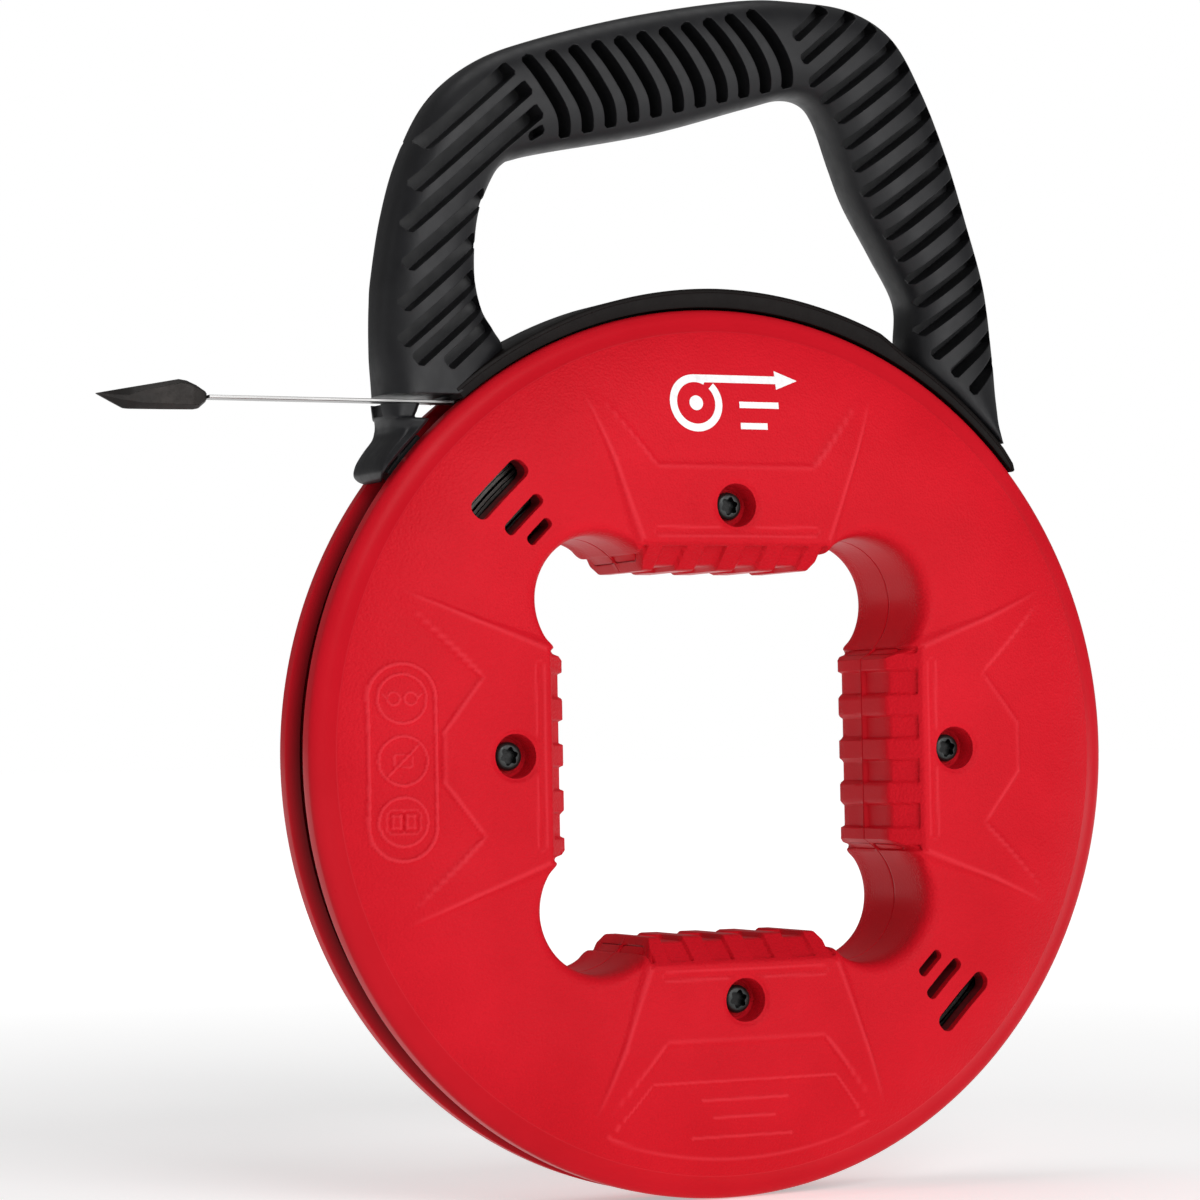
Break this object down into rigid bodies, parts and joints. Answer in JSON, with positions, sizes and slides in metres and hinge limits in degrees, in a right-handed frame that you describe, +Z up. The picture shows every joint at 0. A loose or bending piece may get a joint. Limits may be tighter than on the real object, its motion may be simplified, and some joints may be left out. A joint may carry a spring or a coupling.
{
  "type": "fish tape reel",
  "caption": "Round two-shell hand reel with a square centre grip opening, a bow handle riding in its groove, and a flat steel tape with a spear tip leaving at the side.",
  "frame": {"origin": "bottom centre of the whole object's box, with the reel upright; the reel's spin axis is parallel to Y at x = 0.02725, z = 0.125", "axes": "+Z up through the handle, +Y from the front face to the rear face, +X to the right seen from the front; the tape leaves towards -X"},
  "size_m": [0.3046, 0.0452, 0.3415],
  "materials": {
    "case_red": "fine spark texture on the face, satin rim",
    "handle_black": "satin glass-filled nylon",
    "tape_steel": "polished spring steel",
    "coil_steel": "dark oiled spring steel",
    "tip_steel": "black oxide",
    "screw_black": "black oxide",
    "hidden_steel": "zinc plated"
  },
  "bodies": {
    "handle": {"handle": "handle_black", "saddle_band": "handle_black", "tape_guide": "handle_black", "groove_shoe_left": "handle_black", "groove_shoe_top": "handle_black", "groove_shoe_right": "handle_black", "shoe_screw_left": "hidden_steel", "shoe_screw_top": "hidden_steel", "shoe_screw_right": "hidden_steel"},
    "case": {"front_shell": "case_red", "rear_shell": "case_red", "case_screw_top": "screw_black", "case_screw_left": "screw_black", "case_screw_right": "screw_black", "case_screw_bottom": "screw_black", "tape_coil": "coil_steel", "tape_anchor_clip": "hidden_steel", "tape_anchor_post": "hidden_steel"},
    "tape": {"tape_strip": "tape_steel", "tape_tip": "tip_steel"}
  },
  "joints": [
    {"name": "case_spin", "type": "hinge", "parent": "handle", "child": "case", "pos_m": [0.02725, 0, 0.125], "axis": [0, 1, 0], "continuous": true},
    {"name": "tape_feed", "type": "slide", "parent": "handle", "child": "tape", "axis": [-1, 0, 0], "range_m": [-0.05, 0.08]}
  ]
}
